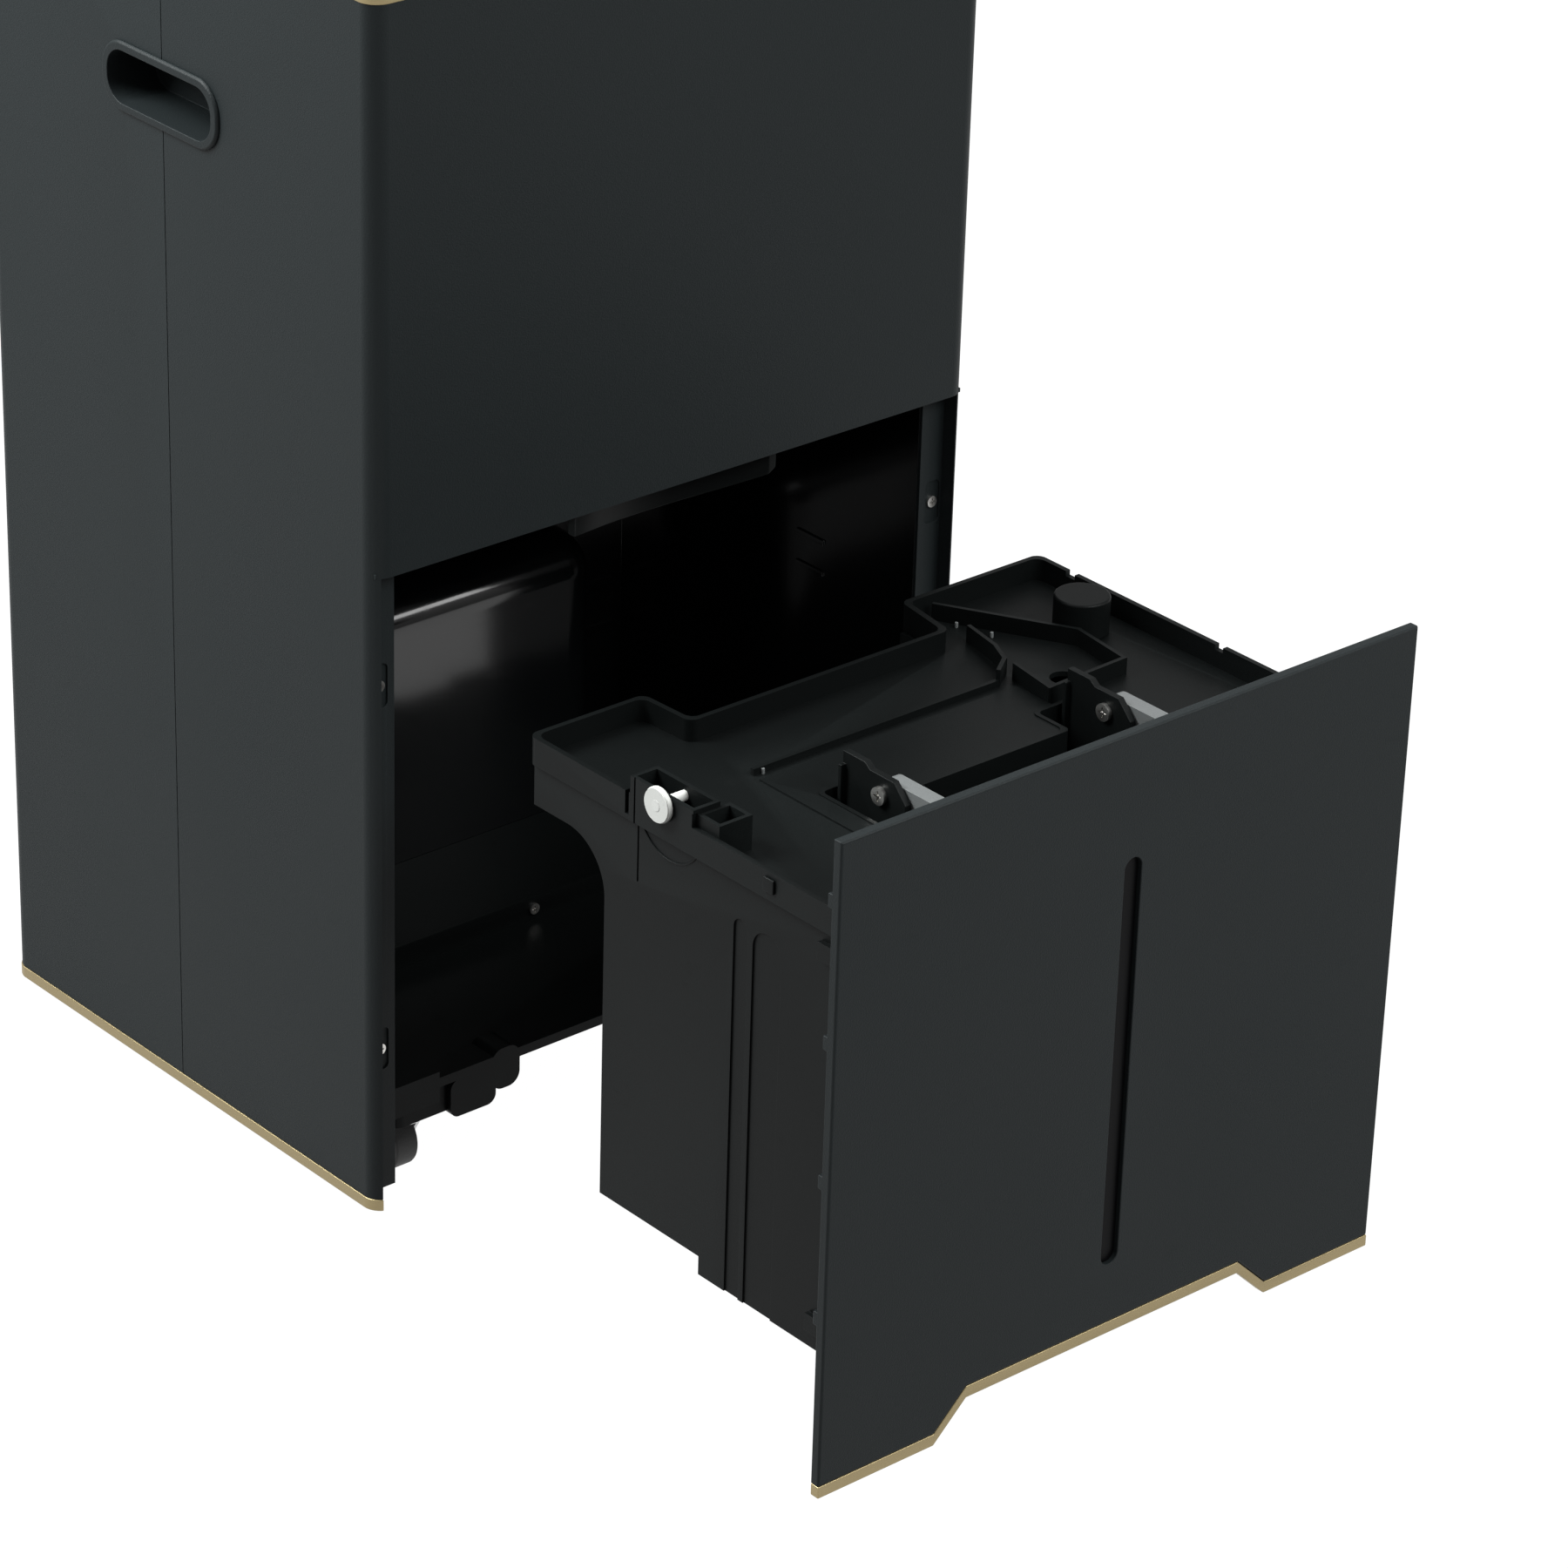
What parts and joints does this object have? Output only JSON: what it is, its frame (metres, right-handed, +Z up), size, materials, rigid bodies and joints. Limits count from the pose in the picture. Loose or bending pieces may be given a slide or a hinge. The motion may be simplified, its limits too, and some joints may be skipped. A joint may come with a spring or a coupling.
{
  "type": "dehumidifier",
  "caption": "Upright free-standing dehumidifier on castors with gold trim bands, side grips and a slotted front tank drawer drawn fully out.",
  "frame": {"origin": "centre of the cabinet's footprint, on the floor", "axes": "+Z up, -Y out of the front where the tank draws out, +X to the right seen from the front"},
  "size_m": [0.4244, 0.738, 0.73],
  "materials": {
    "cabinet_plastic": "fine grained charcoal moulding",
    "gold_trim": "satin champagne gold",
    "gloss_black": "high gloss",
    "satin_black": "satin moulded",
    "fascia_gloss": "piano black",
    "smoked_window": "smoked clear",
    "white_nylon": "satin nylon",
    "grey_arm": "satin light grey",
    "screw_steel": "zinc plated",
    "castor_steel": "pressed zinc plated",
    "wheel_rubber": "matte",
    "grommet_rubber": "matte",
    "compressor_paint": "black enamel",
    "coil_aluminium": "bare fins",
    "copper_tube": "drawn copper",
    "motor_steel": "satin",
    "inner_grey": "moulded",
    "board_green": "solder resist",
    "capacitor_case": "drawn can",
    "filter_mesh": "woven mesh",
    "float_foam": "closed cell foam"
  },
  "bodies": {
    "cabinet": {"accumulator": "copper_tube", "base_pan": "satin_black", "base_trim": "gold_trim", "bay_screws": "screw_steel", "compressor": "compressor_paint", "compressor_mounts": "grommet_rubber", "condenser": "coil_aluminium", "control_board": "board_green", "control_fascia": "fascia_gloss", "drain_spigot": "satin_black", "drip_tray": "inner_grey", "evaporator": "coil_aluminium", "fan_motor": "motor_steel", "fan_scroll": "inner_grey", "front_shell": "cabinet_plastic", "grip_cup_left": "cabinet_plastic", "grip_cup_right": "cabinet_plastic", "intake_frame": "cabinet_plastic", "outlet_grille": "satin_black", "power_inlet": "satin_black", "rear_screws": "screw_steel", "rear_shell": "cabinet_plastic", "refrigerant_tubes": "copper_tube", "run_capacitor": "capacitor_case", "scoop_lip": "satin_black", "tank_bay_liner": "gloss_black", "tank_switch": "satin_black", "top_deck": "cabinet_plastic", "top_trim": "gold_trim"},
    "tank": {"tank_body": "satin_black", "tank_lid": "satin_black", "tank_front_panel": "cabinet_plastic", "panel_trim": "gold_trim", "level_window": "smoked_window", "tank_feet": "grommet_rubber", "lid_clips": "satin_black", "bail_brackets": "satin_black", "pivot_screws": "screw_steel", "roller_pin": "white_nylon"},
    "bail": {"carry_handle": "grey_arm"},
    "tank_float": {"float_arm": "white_nylon", "float_block": "float_foam"},
    "cap": {"tank_cap": "satin_black"},
    "roller": {"guide_roller": "white_nylon"},
    "filter": {"filter_cassette": "satin_black", "filter_mesh": "filter_mesh"},
    "flap": {"outlet_flap": "cabinet_plastic"},
    "fan": {"fan_wheel": "inner_grey"},
    "castor_front_left": {"castor_fork_front_left": "castor_steel"},
    "wheel_front_left": {"castor_wheel_front_left": "wheel_rubber"},
    "castor_front_right": {"castor_fork_front_right": "castor_steel"},
    "wheel_front_right": {"castor_wheel_front_right": "wheel_rubber"},
    "castor_rear_left": {"castor_fork_rear_left": "castor_steel"},
    "wheel_rear_left": {"castor_wheel_rear_left": "wheel_rubber"},
    "castor_rear_right": {"castor_fork_rear_right": "castor_steel"},
    "wheel_rear_right": {"castor_wheel_rear_right": "wheel_rubber"}
  },
  "joints": [
    {"name": "tank_slide", "type": "slide", "parent": "cabinet", "child": "tank", "axis": [0, -1, 0], "range_m": [-0.363, 0.02]},
    {"name": "bail_hinge", "type": "hinge", "parent": "tank", "child": "bail", "pos_m": [0, -0.4335, 0.333], "axis": [-1, 0, 0], "range_deg": [0, 100]},
    {"name": "float_hinge", "type": "hinge", "parent": "tank", "child": "tank_float", "pos_m": [-0.138, -0.3755, 0.298], "axis": [-1, 0, 0], "range_deg": [0, 13]},
    {"name": "cap_lift", "type": "slide", "parent": "tank", "child": "cap", "axis": [0, 0, 1], "range_m": [0, 0.05]},
    {"name": "roller_spin", "type": "hinge", "parent": "tank", "child": "roller", "pos_m": [-0.185, -0.3825, 0.34], "axis": [1, 0, 0], "continuous": true},
    {"name": "filter_pull", "type": "slide", "parent": "cabinet", "child": "filter", "axis": [0, 1, 0], "range_m": [0, 0.08]},
    {"name": "flap_hinge", "type": "hinge", "parent": "cabinet", "child": "flap", "pos_m": [0, 0.065, 0.727], "axis": [-1, 0, 0], "range_deg": [0, 75]},
    {"name": "fan_spin", "type": "hinge", "parent": "cabinet", "child": "fan", "pos_m": [0, 0.03, 0.56], "axis": [0, 1, 0], "continuous": true},
    {"name": "swivel_front_left", "type": "hinge", "parent": "cabinet", "child": "castor_front_left", "pos_m": [-0.163, -0.1375, 0.05], "axis": [0, 0, 1], "continuous": true},
    {"name": "roll_front_left", "type": "hinge", "parent": "castor_front_left", "child": "wheel_front_left", "pos_m": [-0.163, -0.1265, 0.018], "axis": [1, 0, 0], "continuous": true},
    {"name": "swivel_front_right", "type": "hinge", "parent": "cabinet", "child": "castor_front_right", "pos_m": [0.163, -0.1375, 0.05], "axis": [0, 0, 1], "continuous": true},
    {"name": "roll_front_right", "type": "hinge", "parent": "castor_front_right", "child": "wheel_front_right", "pos_m": [0.163, -0.1265, 0.018], "axis": [1, 0, 0], "continuous": true},
    {"name": "swivel_rear_left", "type": "hinge", "parent": "cabinet", "child": "castor_rear_left", "pos_m": [-0.163, 0.1375, 0.05], "axis": [0, 0, 1], "continuous": true},
    {"name": "roll_rear_left", "type": "hinge", "parent": "castor_rear_left", "child": "wheel_rear_left", "pos_m": [-0.163, 0.1485, 0.018], "axis": [1, 0, 0], "continuous": true},
    {"name": "swivel_rear_right", "type": "hinge", "parent": "cabinet", "child": "castor_rear_right", "pos_m": [0.163, 0.1375, 0.05], "axis": [0, 0, 1], "continuous": true},
    {"name": "roll_rear_right", "type": "hinge", "parent": "castor_rear_right", "child": "wheel_rear_right", "pos_m": [0.163, 0.1485, 0.018], "axis": [1, 0, 0], "continuous": true}
  ]
}
